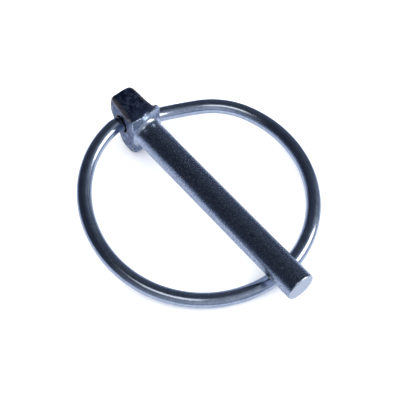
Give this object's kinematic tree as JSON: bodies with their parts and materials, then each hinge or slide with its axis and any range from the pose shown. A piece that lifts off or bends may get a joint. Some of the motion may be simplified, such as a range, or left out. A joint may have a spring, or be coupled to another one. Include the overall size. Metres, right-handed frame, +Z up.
{
  "type": "hitch pin lock",
  "caption": "Forged steel locking pin with a flat-sided head and a spring-wire ring that turns in an oblique hole through the head and lies under the shank.",
  "frame": {"origin": "on the shank's axis, at the middle of the shank's length", "axes": "+X along the shank to its tip, +Y across the head towards the ring's lower end, +Z up, away from the ring's crossing under the shank"},
  "size_m": [0.0553, 0.0481, 0.0125],
  "materials": {
    "plated_forging": "zinc plate over a forged skin, finely grained",
    "plated_wire": "bright zinc plate on drawn spring wire"
  },
  "bodies": {
    "pin": {"forged_pin": "plated_forging"},
    "ring": {"spring_ring": "plated_wire"}
  },
  "joints": [
    {"name": "ring_flip", "type": "hinge", "parent": "pin", "child": "ring", "pos_m": [-0.0269, 0, -0.0004], "axis": [0.135, 0.9453, -0.2971], "range_deg": [0, 340]}
  ]
}
